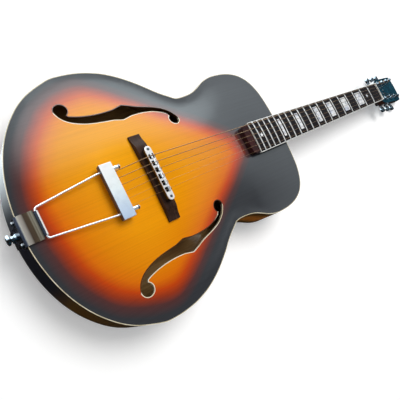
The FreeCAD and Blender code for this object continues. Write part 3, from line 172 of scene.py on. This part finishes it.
def bareWood(field, stretch):
    return field.noise(1.0, 4.0, stretch).ramp([(0.3, woods["dark"]), (0.75, woods["light"])])


def makeBareWood():
    finish = Finish("bareInnerWood")
    finish.feed("Base Color", bareWood(finish.field, woods["stretch"]))
    patch = finish.field.noise(woods["roughScale"])
    finish.feed("Roughness", woods["rough"] + patch * woods["roughSpread"])
    finish.dress("neck_block", "tail_block", "kerfed_linings", "tone_bars")


# Sunburst lacquer on the top, lengths in metres; the colours run from outside the burst's edge inwards
burst = {
    "centre": 0.150, "tailReach": 0.127, "neckReach": 0.218, "halfWidth": 0.164, "taper": 0.96,
    "rounding": 0.025, "shortOfBoard": 0.011, "leastOut": 0.002, "leastHalf": 0.001,
    "outside": 0.05, "span": 0.2, "innerFull": 0.05, "cloudScale": 9.0, "cloud": 0.014,
    "colours": [
        (0.0, tint(52, 54, 58)), (0.15, tint(52, 54, 58)), (0.22, tint(84, 50, 48)),
        (0.27, tint(150, 54, 26)), (0.32, tint(196, 68, 8)), (0.39, tint(222, 113, 2)),
        (0.5, tint(228, 134, 1)), (0.75, tint(240, 154, 2))],
    "bassLightFrom": -0.02, "bassLightFull": 0.1, "bassLightShare": 0.35, "bassLightTint": tint(255, 198, 40),
    "grainStretch": (5, 620, 30), "grainFrom": 0.35, "grainFull": 0.75,
    "grainShare": 0.11, "grainTint": tint(120, 50, 10), "grainBump": 0.04, "grainDepth": 0.0004,
    "coat": 0.9, "coatDrop": 0.42, "coatRough": 0.06, "shine": 0.05, "rough": 0.34, "roughSpread": 0.1,
}


def burstDepth(field):  # how far a point lies inside the edge of the burst, in metres
    along = field.along("X") - tailX
    out = field.calc("MAXIMUM", abs(field.along("Y")), burst["leastOut"])
    back = field.calc("MAXIMUM", burst["centre"] - along, 0.0)
    ahead = field.calc("MAXIMUM", along - burst["centre"], 0.0)
    eased = (ahead * ahead + burst["rounding"] ** 2) ** 0.5 - burst["rounding"]
    left = field.calc("MAXIMUM", 1 - eased / burst["neckReach"], 0.0)
    half = (left ** burst["taper"]) * burst["halfWidth"]
    across = out / field.calc("MAXIMUM", half, burst["leastHalf"])
    lengthwise = back / burst["tailReach"]
    share = (across * across + lengthwise * lengthwise) ** 0.5
    reach = (out * out + back * back) ** 0.5
    tip = supportX - burst["shortOfBoard"] - field.along("X")
    return field.calc("MINIMUM", reach / share - reach, tip)


def makeSunburst():
    finish = Finish("sunburstLacquer", Coat_Roughness=burst["coatRough"],
                    Specular_IOR_Level=burst["shine"])
    field = finish.field
    cloud = field.noise(burst["cloudScale"])
    depth = burstDepth(field) + (cloud - 0.5) * burst["cloud"]
    inner = depth.smooth(0.0, burst["innerFull"])
    colour = ((depth + burst["outside"]) / burst["span"]).ramp(burst["colours"])
    bass = field.along("Y").smooth(burst["bassLightFrom"], burst["bassLightFull"])
    colour = (bass * inner * burst["bassLightShare"]).mix(colour, burst["bassLightTint"])  # painted light: the bass side is painted paler and yellower, as where more light falls on it
    grain = field.noise(1.0, 4.0, burst["grainStretch"])
    streaks = grain.smooth(burst["grainFrom"], burst["grainFull"]) * burst["grainShare"]
    colour = streaks.mix(colour, burst["grainTint"], "MULTIPLY")
    colour = field.facing("Z", 1).mix(woods["edge"], colour)
    colour = field.facing("Z", -1).mix(colour, bareWood(field, woods["stretch"]))
    finish.feed("Base Color", colour)
    finish.feed("Coat Weight", burst["coat"] - inner * burst["coatDrop"])  # thickest over the dark edge
    finish.feed("Roughness", burst["rough"] + grain * burst["roughSpread"])
    finish.bump(grain, burst["grainBump"], burst["grainDepth"])
    finish.dress("top_plate")


# Lacquered sides, dark at their edges, with painted shade and a navy painted reflection toward the tail;
# shares of the height and of the length
sides = {
    "middle": 0.42, "edgeFrom": 0.1, "edgeFull": 0.95, "flameStretch": (95, 95, 6),
    "glowFrom": 0.2, "glowFull": 0.4, "shoulderFrom": 0.55, "shoulderFull": 0.9, "shoulderGlow": 0.35,
    "leastFrom": 0.02, "leastFull": 0.06, "leastGlow": 0.25, "flameLow": 0.55, "flameSpread": 0.7,
    # the navy first colour is a painted dark reflection, seen in the shade at the tail
    "colours": [
        (0.0, tint(18, 22, 36)), (0.2, tint(80, 53, 10)), (0.5, tint(98, 62, 12)),
        (1.0, tint(150, 88, 20))],
    "coat": 0.3, "coatRough": 0.08, "shine": 0.05, "rough": 0.28, "roughSpread": 0.1,
}


def makeSides():
    finish = Finish("darkSideLacquer", Coat_Weight=sides["coat"], Coat_Roughness=sides["coatRough"],
                    Specular_IOR_Level=sides["shine"])
    field = finish.field
    height = (field.along("Z") - ribFoot) / (rimTop - ribFoot)
    edge = (abs(height - sides["middle"]) * 2).smooth(sides["edgeFrom"], sides["edgeFull"])
    along = (field.along("X") - tailX) / (shoulderX - tailX)
    flame = field.noise(1.0, 3.0, sides["flameStretch"])
    glow = (1 - edge) * along.smooth(sides["glowFrom"], sides["glowFull"])
    glow = glow + along.smooth(sides["shoulderFrom"], sides["shoulderFull"]) * sides["shoulderGlow"]
    least = along.smooth(sides["leastFrom"], sides["leastFull"]) * sides["leastGlow"]
    glow = field.calc("MAXIMUM", glow, least)  # painted shade: quite dark, down to the navy painted reflection, only at the tail
    colour = (glow * (sides["flameLow"] + flame * sides["flameSpread"])).ramp(sides["colours"])
    finish.feed("Base Color", colour)
    finish.feed("Roughness", sides["rough"] + flame * sides["roughSpread"])
    finish.dress("bass_rib", "treble_rib")


# Lacquered back, a darker burst than the top's
backPlate = {
    "flameStretch": (80, 9, 9), "flameShare": 0.3, "insideStretch": (8, 260, 260),
    "colours": [
        (0.1, tint(24, 24, 30)), (0.3, tint(70, 26, 18)), (0.55, tint(130, 66, 20)),
        (0.95, tint(168, 104, 40))],
    "coat": 0.8, "coatRough": 0.06, "shine": 0.25, "rough": 0.28, "roughSpread": 0.1,
}


def makeBack():
    finish = Finish("backLacquer", Coat_Weight=backPlate["coat"], Coat_Roughness=backPlate["coatRough"],
                    Specular_IOR_Level=backPlate["shine"])
    field = finish.field
    flame = field.noise(1.0, 3.0, backPlate["flameStretch"])
    share = (burstDepth(field) + burst["outside"]) / burst["span"]
    colour = (share + (flame - 0.5) * backPlate["flameShare"]).ramp(backPlate["colours"])
    colour = field.facing("Z", 1).mix(colour, bareWood(field, backPlate["insideStretch"]))
    finish.feed("Base Color", colour)
    finish.feed("Roughness", backPlate["rough"] + flame * backPlate["roughSpread"])
    finish.dress("back_plate")


# Edging of the sound holes: cream on the treble side of each hole is a painted highlight, and brown on
# the other side is painted shade
holeEdge = {
    "cream": tint(226, 210, 172), "pale": tint(252, 244, 224), "shadeTint": tint(78, 42, 16),
    "fleckScale": 60.0, "change": 0.0015, "coat": 0.3, "coatRough": 0.1,
    "rough": 0.25, "roughSpread": 0.2,
    # the middle of a hole: share of its length, and millimetres from the guitar's centre line
    "middle": [
        (0.0, 137.5), (0.04, 134), (0.073, 124.5), (0.149, 115.5), (0.231, 111.5), (0.356, 109.5),
        (0.486, 109), (0.617, 108), (0.731, 104), (0.829, 98), (0.894, 90), (0.921, 84), (0.946, 79),
        (1.0, 77)],
}


def makeHoleEdging():
    finish = Finish("holeEdging", Coat_Weight=holeEdge["coat"], Coat_Roughness=holeEdge["coatRough"])
    field = finish.field
    low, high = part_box("f_hole_bindings")
    along = (field.along("X") - low.x) / (high.x - low.x)
    stops = [(place, (mm / 1000, mm / 1000, mm / 1000, 1)) for place, mm in holeEdge["middle"]]
    middle = along.ramp(stops)  # a grey ramp carries the distance in metres
    across = field.along("Y")
    treble = middle * field.calc("SIGN", across) - across
    treble = treble.smooth(-holeEdge["change"], holeEdge["change"])
    fleck = field.noise(holeEdge["fleckScale"], 4.0)
    cream = fleck.ramp([(0.3, holeEdge["cream"]), (0.7, holeEdge["pale"])])
    # painted light: a cream highlight on the treble side of each hole, brown painted shade on the other
    finish.feed("Base Color", treble.mix(holeEdge["shadeTint"], cream))
    finish.feed("Roughness", holeEdge["rough"] + fleck * holeEdge["roughSpread"])
    finish.dress("f_hole_bindings")


# Dark open-pored woods
rosewoods = {
    "fingerboardWood": {
        "piece": "fingerboard", "dark": tint(12, 10, 13), "light": tint(34, 27, 28),
        "stretch": (14, 420, 420), "shine": 0.1},
    "bridgeWood": {
        "piece": "bridge_base", "dark": tint(28, 18, 14), "light": tint(70, 48, 38),
        "stretch": (420, 16, 420), "shine": 0.1},
    "supportWood": {
        "piece": "fingerboard_support", "dark": tint(20, 6, 6), "light": tint(54, 14, 13),
        "stretch": (14, 300, 300), "shine": 0.2},
}
pores = {
    "finer": 3, "from": 0.58, "full": 0.7, "tint": tint(10, 6, 5), "bump": 0.25, "depth": 0.0003,
    "rough": 0.38, "roughSpread": 0.25,
}


def makeRosewood(name, wood):
    finish = Finish(name, Specular_IOR_Level=wood["shine"])
    field = finish.field
    streak = field.noise(1.0, 4.0, wood["stretch"])
    pore = field.noise(1.0, 2.0, tuple(pores["finer"] * s for s in wood["stretch"]))
    colour = streak.ramp([(0.25, wood["dark"]), (0.75, wood["light"])])
    colour = pore.smooth(pores["from"], pores["full"]).mix(colour, pores["tint"])
    finish.feed("Base Color", colour)
    finish.feed("Roughness", pores["rough"] + streak * pores["roughSpread"])
    finish.bump(pore, pores["bump"], pores["depth"])
    finish.dress(wood["piece"])


# Pearl blocks and stars in the fingerboard
pearl = {
    "swirlScale": 160.0, "bandScale": 70.0, "bandFrom": 0.45, "bandFull": 0.7, "bandShare": 0.5,
    "swirl": [(0.3, tint(140, 146, 160)), (0.48, tint(222, 224, 226)), (0.7, tint(246, 244, 240))],
    "bandTint": tint(178, 186, 214), "coat": 0.4, "coatRough": 0.06, "rough": 0.16, "roughSpread": 0.16,
}


def makePearl():
    finish = Finish("pearlInlay", Coat_Weight=pearl["coat"], Coat_Roughness=pearl["coatRough"])
    swirl = finish.field.noise(pearl["swirlScale"], 5.0)
    band = finish.field.noise(pearl["bandScale"], 4.0).smooth(pearl["bandFrom"], pearl["bandFull"])
    colour = (band * pearl["bandShare"]).mix(swirl.ramp(pearl["swirl"]), pearl["bandTint"])
    finish.feed("Base Color", colour)
    finish.feed("Roughness", pearl["rough"] + swirl * pearl["roughSpread"])
    finish.dress("fret_markers")


# Edging, lacquer, bone and plain metal: colour and roughness follow one noise (scale, detail, stretch)
mottled = {
    "creamEdging": {
        "pieces": ["top_binding"], "noise": (60.0, 4.0), "rough": 0.25, "roughSpread": 0.2,
        "stops": [(0.3, tint(196, 184, 150)), (0.7, tint(228, 220, 196))],
        "fixed": {"Coat_Weight": 0.4, "Coat_Roughness": 0.1}},
    "boardEdging": {
        "pieces": ["fingerboard_binding"], "noise": (80.0, 4.0), "rough": 0.25, "roughSpread": 0.2,
        "stops": [(0.3, tint(222, 219, 210)), (0.7, tint(246, 245, 242))],
        "fixed": {"Coat_Weight": 0.4, "Coat_Roughness": 0.1}},
    "neckLacquer": {
        "pieces": ["neck"], "noise": (1.0, 4.0, (6, 160, 160)), "rough": 0.28, "roughSpread": 0.12,
        "stops": [(0.3, tint(34, 18, 14)), (0.75, tint(70, 36, 22))],
        "fixed": {"Coat_Weight": 0.6, "Coat_Roughness": 0.06, "Specular_IOR_Level": 0.25}},
    "headFaceLacquer": {
        "pieces": ["headstock_veneer", "truss_rod_cover"], "noise": (24.0, 3.0),
        "rough": 0.2, "roughSpread": 0.12,
        "stops": [(0.3, tint(12, 44, 58)), (0.75, tint(28, 74, 92))],
        "fixed": {"Coat_Weight": 0.3, "Coat_Roughness": 0.05, "Specular_IOR_Level": 0.1}},
    "bone": {
        "pieces": ["nut"], "noise": (300.0, 4.0), "rough": 0.32, "roughSpread": 0.2,
        "stops": [(0.3, tint(234, 230, 218)), (0.7, tint(250, 248, 242))], "fixed": {}},
    "brightChrome": {
        "pieces": ["trapeze_wire"], "noise": (70.0, 4.0), "rough": 0.12, "roughSpread": 0.08,
        "stops": [(0.25, tint(222, 228, 236)), (0.75, tint(250, 252, 254))], "fixed": {"Metallic": 0.55}},
    "tunerChrome": {
        "pieces": ["tuner_key_" + n for n in oneToSix] + ["tuner_post_" + n for n in oneToSix]
        + ["tuner_housings", "tuner_bushings", "thumbwheel_bass", "thumbwheel_treble", "strap_button"],
        "noise": (70.0, 4.0), "rough": 0.08, "roughSpread": 0.08,
        "stops": [(0.25, tint(70, 84, 96)), (0.75, tint(176, 186, 194))], "fixed": {"Metallic": 1.0}},
    "screwSteel": {
        "pieces": ["truss_rod", "truss_rod_nut", "truss_cover_screws", "tuner_screws", "saddle_screws",
                   "bridge_posts", "tail_screws", "strap_button_screw"],
        "noise": (70.0, 4.0), "rough": 0.2, "roughSpread": 0.08,
        "stops": [(0.25, tint(60, 60, 64)), (0.75, tint(150, 152, 156))], "fixed": {"Metallic": 1.0}},
    "fretWire": {
        "pieces": ["frets"], "noise": (70.0, 4.0), "rough": 0.2, "roughSpread": 0.08,
        "stops": [(0.25, tint(216, 216, 214)), (0.75, tint(250, 250, 248))], "fixed": {"Metallic": 0.4}},
    "plainString": {
        "pieces": ["plain_strings"], "noise": (70.0, 4.0), "rough": 0.25, "roughSpread": 0.08,
        "stops": [(0.25, tint(120, 88, 58)), (0.75, tint(170, 132, 92))], "fixed": {"Metallic": 0.6}},
}


def makeMottled(name, settings):
    finish = Finish(name, **settings["fixed"])
    fleck = finish.field.noise(*settings["noise"])
    finish.feed("Base Color", fleck.ramp(settings["stops"]))
    finish.feed("Roughness", settings["rough"] + fleck * settings["roughSpread"])
    finish.dress(*settings["pieces"])


# Plated metal whose colour changes along an axis, in metres from a start; the bands are painted
# reflections and highlights, and some are given painted shade on the faces toward the tail
banded = {
    # the bluish to white bands across the bar are a painted reflection
    "barChrome": {
        "pieces": ["tailpiece_bar"], "axis": "Y", "start": barLow.y, "length": barHigh.y - barLow.y,
        "stops": [(0.0, tint(186, 208, 236)), (0.02, tint(206, 224, 242)), (0.045, tint(240, 250, 252)),
                  (0.09, tint(254, 255, 255))],
        "rough": 0.12, "metallic": 0.1, "tailShadeTint": tint(34, 44, 74)},
    # the dark sides are a painted reflection and the bright top edge a painted highlight
    "bridgeNickel": {
        "pieces": ["bridge_body"], "axis": "Z", "start": bridgeTop - 0.008, "length": 0.0084,
        "stops": [(0.0, tint(16, 16, 20)), (0.0062, tint(24, 24, 28)), (0.0072, tint(228, 232, 236)),
                  (0.008, tint(254, 255, 255))],
        "rough": 0.12, "metallic": 0.3, "tailShadeTint": None},
    # painted shade low on the saddles and a painted highlight on their tops
    "saddleNickel": {
        "pieces": ["saddle_" + n for n in oneToSix],
        "axis": "Z", "start": bridgeTop - 0.006, "length": 0.011,
        "stops": [(0.0, tint(18, 18, 22)), (0.0062, tint(40, 42, 48)), (0.0085, tint(150, 154, 160)),
                  (0.0105, tint(236, 240, 244))],
        "rough": 0.12, "metallic": 0.6, "tailShadeTint": None},
    # the bright and dark rings are painted reflections and highlights
    "sleeveNickel": {
        "pieces": ["trapeze_nuts"], "axis": "X", "start": barHigh.x, "length": 0.0115,
        "stops": [(0.0, tint(236, 242, 246)), (0.0078, tint(228, 234, 240)), (0.0086, tint(40, 42, 52)),
                  (0.0094, tint(60, 64, 76)), (0.01, tint(190, 194, 204)), (0.011, tint(110, 112, 120))],
        "rough": 0.1, "metallic": 0.6, "tailShadeTint": None},
    # the bands are mostly painted reflections, ending in a painted highlight at the front edge
    "bracketNickel": {
        "pieces": ["tail_bracket"], "axis": "X", "start": tailX - 0.003, "length": 0.032,
        "stops": [(0.0, tint(36, 46, 66)), (0.003, tint(110, 106, 100)), (0.005, tint(206, 200, 190)),
                  (0.010, tint(168, 160, 150)), (0.0125, tint(86, 70, 58)), (0.0185, tint(96, 80, 62)),
                  (0.0195, tint(150, 142, 124)), (0.021, tint(124, 114, 96)),
                  (0.0225, tint(160, 152, 134)), (0.024, tint(110, 104, 92)), (0.0255, tint(30, 32, 40)),
                  (0.0275, tint(60, 62, 70)), (0.0285, tint(250, 250, 248)),
                  (0.032, tint(255, 255, 255))],
        "rough": 0.18, "metallic": 0.6, "tailShadeTint": tint(30, 38, 56)},
}
smears = {
    "scale": 90.0, "from": 0.4, "full": 0.75, "share": 0.12, "tint": tint(120, 124, 132),
    "roughSpread": 0.1,
}


def makeBanded(name, settings):
    finish = Finish(name, Metallic=settings["metallic"])
    field = finish.field
    colour = field.bands(settings["axis"], settings["start"], settings["length"], settings["stops"])
    # painted shade on the faces toward the tail
    if settings["tailShadeTint"]:
        colour = field.facing("X", -1).mix(colour, settings["tailShadeTint"])
    smear = field.noise(smears["scale"], 4.0)
    smudge = smear.smooth(smears["from"], smears["full"]) * smears["share"]
    finish.feed("Base Color", smudge.mix(colour, smears["tint"], "MULTIPLY"))
    finish.feed("Roughness", settings["rough"] + smear * smears["roughSpread"])
    finish.dress(*settings["pieces"])


# Windings of the wound strings, their pace in radians for each metre
windings = {
    "pace": 9000.0, "gap": tint(84, 58, 36), "crown": tint(156, 120, 84),
    "metallic": 0.8, "rough": 0.3, "roughDrop": 0.06,
}


def makeWoundStrings():
    finish = Finish("woundString", Metallic=windings["metallic"])
    # painted light: the darker gaps between windings are painted shade and the lighter crowns a painted
    # highlight
    turns = finish.field.calc("SINE", finish.field.along("X") * windings["pace"])
    colour = turns.smooth(-1.0, 1.0).ramp([(0.0, windings["gap"]), (1.0, windings["crown"])])
    finish.feed("Base Color", colour)
    finish.feed("Roughness", windings["rough"] - turns * windings["roughDrop"])
    finish.dress("wound_strings")


makeSunburst()
makeSides()
makeBack()
makeBareWood()
makeHoleEdging()
for name, settings in rosewoods.items():
    makeRosewood(name, settings)
makePearl()
print("woods, lacquer and pearl set")

for name, settings in mottled.items():
    makeMottled(name, settings)
for name, settings in banded.items():
    makeBanded(name, settings)
makeWoundStrings()
print("edging, metal and strings set")

# Floor, light and camera
studio = {
    "floorSide": 3.8, "floorTint": tint(244, 244, 243), "floorFibre": tint(249, 249, 248),
    "floorScale": 3.0, "floorRough": 0.9, "floorGlow": 0.22,
    "zenith": (0.05, 0.055, 0.06, 1), "zenithFrom": 0.72, "zenithFull": 0.86,
    "haze": (1.9, 2.1, 2.2, 1), "hazeFrom": -0.52, "hazeFull": 0.4,
    "horizon": (0.03, 0.10, 0.14, 1), "horizonTo": 0.3, "horizonGone": 0.65,
    "below": (0.02, 0.016, 0.012, 1), "belowTo": -0.1, "belowGone": 0.0,
    "window": (-0.148, 0.989, 0.0), "windowFrom": 0.24, "windowFull": 0.48,
    "windowTint": (4.3, 4.85, 5.05, 1),
    "fill": (0.17, 0.17, 0.175, 1), "backdrop": (0.95, 0.95, 0.95, 1),
    "aim": (-0.15, 0.0, 0.08),
    "key": {"place": (0.32, 0.6, 2.4), "side": 1.6, "power": 44.0},
    "overhead": {"place": (-0.3, -0.2, 2.4), "side": 2.6, "power": 15.0},
    # the camera's place is measured from the nut's edge, the centre line and the rim's top
    "camera": {
        "place": (-0.954777, -0.093147, 0.565316), "turn": (0.33107, -0.48674, -0.53447),
        "lens": 39.28, "sensor": 36.0},
}


def makeFloor():
    mesh = bpy.data.meshes.new("studioFloor")
    shape = bmesh.new()
    bmesh.ops.create_grid(shape, x_segments=1, y_segments=1, size=studio["floorSide"] / 2)
    shape.to_mesh(mesh)
    shape.free()
    floor = bpy.data.objects.new("studioFloor", mesh)
    bpy.context.scene.collection.objects.link(floor)
    floor.location.z = cadBox[0][2]
    finish = Finish("floorPaper", Roughness=studio["floorRough"], Emission_Color=(1, 1, 1, 1),
                    Emission_Strength=studio["floorGlow"])
    fibre = finish.field.noise(studio["floorScale"])
    finish.feed("Base Color", fibre.ramp([(0.3, studio["floorTint"]), (0.7, studio["floorFibre"])]))
    mesh.materials.append(finish.material)
    floor.visible_glossy = False  # the lacquer mirrors the room, not the lit floor


def makeSoftLight(name):
    data = bpy.data.lights.new(name + "Light", "AREA")
    data.shape = "DISK"
    data.size = studio[name]["side"]
    data.energy = studio[name]["power"]
    lamp = bpy.data.objects.new(name + "Light", data)
    lamp.location = studio[name]["place"]
    away = Vector(studio["aim"]) - lamp.location
    lamp.rotation_euler = away.to_track_quat("-Z", "Y").to_euler()
    lamp.visible_glossy = False  # the sky's window makes the sheen
    bpy.context.scene.collection.objects.link(lamp)


def makeWorld():
    world = bpy.data.worlds.new("studioWorld")
    bpy.context.scene.world = world
    world.use_nodes = True
    ground = world.node_tree.nodes["Background"]
    field = Field(world.node_tree)
    way = field.node("TexCoord", output="Generated")
    side = field.node("SeparateXYZ", sockets={"Vector": way}, output="Y")
    height = field.node("SeparateXYZ", sockets={"Vector": way}, output="Z")
    sockets = {0: way, 1: studio["window"]}
    toward = field.node("VectorMath", {"operation": "DOT_PRODUCT"}, sockets, "Value")
    sky = side.smooth(studio["hazeFrom"], studio["hazeFull"]).mix(studio["zenith"], studio["haze"])
    sky = height.smooth(studio["zenithFrom"], studio["zenithFull"]).mix(sky, studio["zenith"])
    sky = height.smooth(studio["horizonTo"], studio["horizonGone"]).mix(studio["horizon"], sky)
    sky = height.smooth(studio["belowTo"], studio["belowGone"]).mix(studio["below"], sky)
    sky = toward.smooth(studio["windowFrom"], studio["windowFull"]).mix(sky, studio["windowTint"])
    mirrored = field.node("LightPath", output="Is Glossy Ray")  # only reflections see the sky
    sky = mirrored.mix(studio["fill"], sky)
    seen = field.node("LightPath", output="Is Camera Ray")
    world.node_tree.links.new(seen.mix(sky, studio["backdrop"]).socket, ground.inputs["Color"])


def makeCamera():
    view = studio["camera"]
    data = bpy.data.cameras.new("photoCamera")
    data.sensor_width = view["sensor"]
    data.lens = view["lens"]
    camera = bpy.data.objects.new("photoCamera", data)
    ahead, aside, above = view["place"]
    camera.location = (nutX + ahead, aside, rimTop + above)
    camera.rotation_euler = Euler(view["turn"], "XYZ")
    bpy.context.scene.collection.objects.link(camera)
    bpy.context.scene.camera = camera


makeFloor()
makeWorld()
makeSoftLight("key")
makeSoftLight("overhead")
makeCamera()
bpy.context.scene.view_settings.view_transform = "Standard"
print("studio ready")
